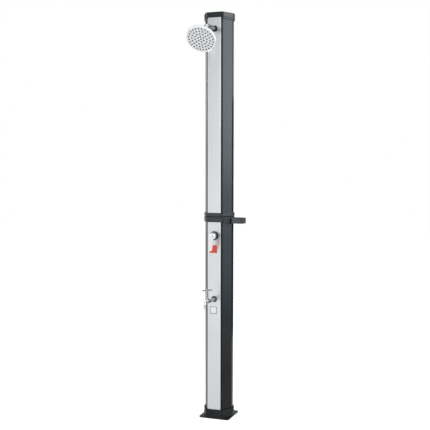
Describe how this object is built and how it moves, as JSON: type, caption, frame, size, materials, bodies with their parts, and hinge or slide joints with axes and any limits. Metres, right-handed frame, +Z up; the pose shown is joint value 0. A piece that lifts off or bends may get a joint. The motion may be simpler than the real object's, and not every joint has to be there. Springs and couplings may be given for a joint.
{
  "type": "outdoor shower post",
  "caption": "A tall black two-tank shower post with aluminium front panels, a tilting round head, a lever mixer, a foot tap, a soap tray and a square base plate to bolt down.",
  "frame": {"origin": "middle of the base plate's underside, on the ground", "axes": "+Z up the post, -Y out of the front with the panels and taps, +X to the soap tray's side"},
  "size_m": [0.2318, 0.4193, 2.17],
  "materials": {
    "tank_black": "extruded PVC tank, fine satin with faint draw lines",
    "cap_black": "moulded plastic, fine satin",
    "panel_aluminium": "fine brushed and anodised, satin",
    "chrome_metal": "polished chrome plating",
    "chrome_plastic": "chrome-plated plastic, mirror bright",
    "brass": "turned brass",
    "rubber_black": "matt black rubber",
    "nozzle_rubber": "soft grey silicone",
    "nylon_white": "natural nylon",
    "screw_steel": "stainless steel",
    "label_red": "printed film, blank",
    "label_pale": "printed film, blank with a thin grey frame"
  },
  "bodies": {
    "post": {"base_flange": "cap_black", "base_plug": "cap_black", "collar_screws": "screw_steel", "lower_tank": "tank_black", "lower_panel": "panel_aluminium", "lower_joint_cap": "cap_black", "joint_nipple": "nylon_white", "joint_nuts": "nylon_white", "joint_gasket": "rubber_black", "upper_joint_cap": "cap_black", "upper_tank": "tank_black", "upper_panel": "panel_aluminium", "top_end_cap": "cap_black", "top_cover": "cap_black", "tray_bracket": "cap_black", "soap_tray": "cap_black", "tray_screws": "screw_steel", "arm_gasket": "rubber_black", "arm_union": "brass", "shower_arm": "chrome_metal", "arm_washer": "rubber_black", "swivel_ball": "chrome_metal", "mixer_gasket": "rubber_black", "mixer_body": "brass", "mixer_sleeve": "chrome_metal", "cartridge_seal": "rubber_black", "cartridge": "nylon_white", "cartridge_cover": "chrome_metal", "heat_label": "label_red", "tap_gasket": "rubber_black", "tap_body": "chrome_metal", "tap_locknut": "brass", "tap_seal": "rubber_black", "tap_bonnet": "chrome_metal", "tap_outlet": "chrome_metal", "sign_label": "label_pale", "hose_inlet": "brass", "inlet_seal": "rubber_black", "check_valve": "nylon_white", "drain_plug": "cap_black", "drain_seal": "rubber_black", "wall_nuts": "brass", "cold_pipe": "nylon_white", "hot_pipe": "nylon_white", "mixed_pipe": "nylon_white"},
    "turret": {"cartridge_turret": "nylon_white", "turret_pin": "screw_steel"},
    "lever": {"lever_stem": "screw_steel", "mixer_handle": "chrome_metal", "handle_screw": "screw_steel", "handle_plug": "chrome_plastic"},
    "tap_valve": {"tap_spindle": "brass", "tap_disc": "nylon_white", "tap_handle": "chrome_metal", "tap_handle_screw": "screw_steel"},
    "swivel_ring": {"ball_seal": "nylon_white"},
    "head": {"swivel_nut": "chrome_metal", "head_shell": "chrome_plastic", "head_face": "panel_aluminium", "nozzle_mat": "nozzle_rubber"}
  },
  "joints": [
    {"name": "mixer_turn", "type": "hinge", "parent": "post", "child": "turret", "pos_m": [0, -0.1063, 0.992], "axis": [0, -1, 0], "range_deg": [-45, 45]},
    {"name": "lever_lift", "type": "hinge", "parent": "turret", "child": "lever", "pos_m": [0, -0.1063, 0.992], "axis": [-1, 0, 0], "range_deg": [0, 25]},
    {"name": "tap_turn", "type": "hinge", "parent": "post", "child": "tap_valve", "pos_m": [0, -0.1823, 0.713], "axis": [0, 0, 1], "range_deg": [-45, 45]},
    {"name": "head_tilt", "type": "hinge", "parent": "post", "child": "swivel_ring", "pos_m": [0, -0.23064, 2.03511], "axis": [1, 0, 0], "range_deg": [-21, 24]},
    {"name": "head_swing", "type": "hinge", "parent": "swivel_ring", "child": "head", "pos_m": [0, -0.23064, 2.03511], "axis": [0, -0.6947, 0.7193], "range_deg": [-12, 12]}
  ]
}
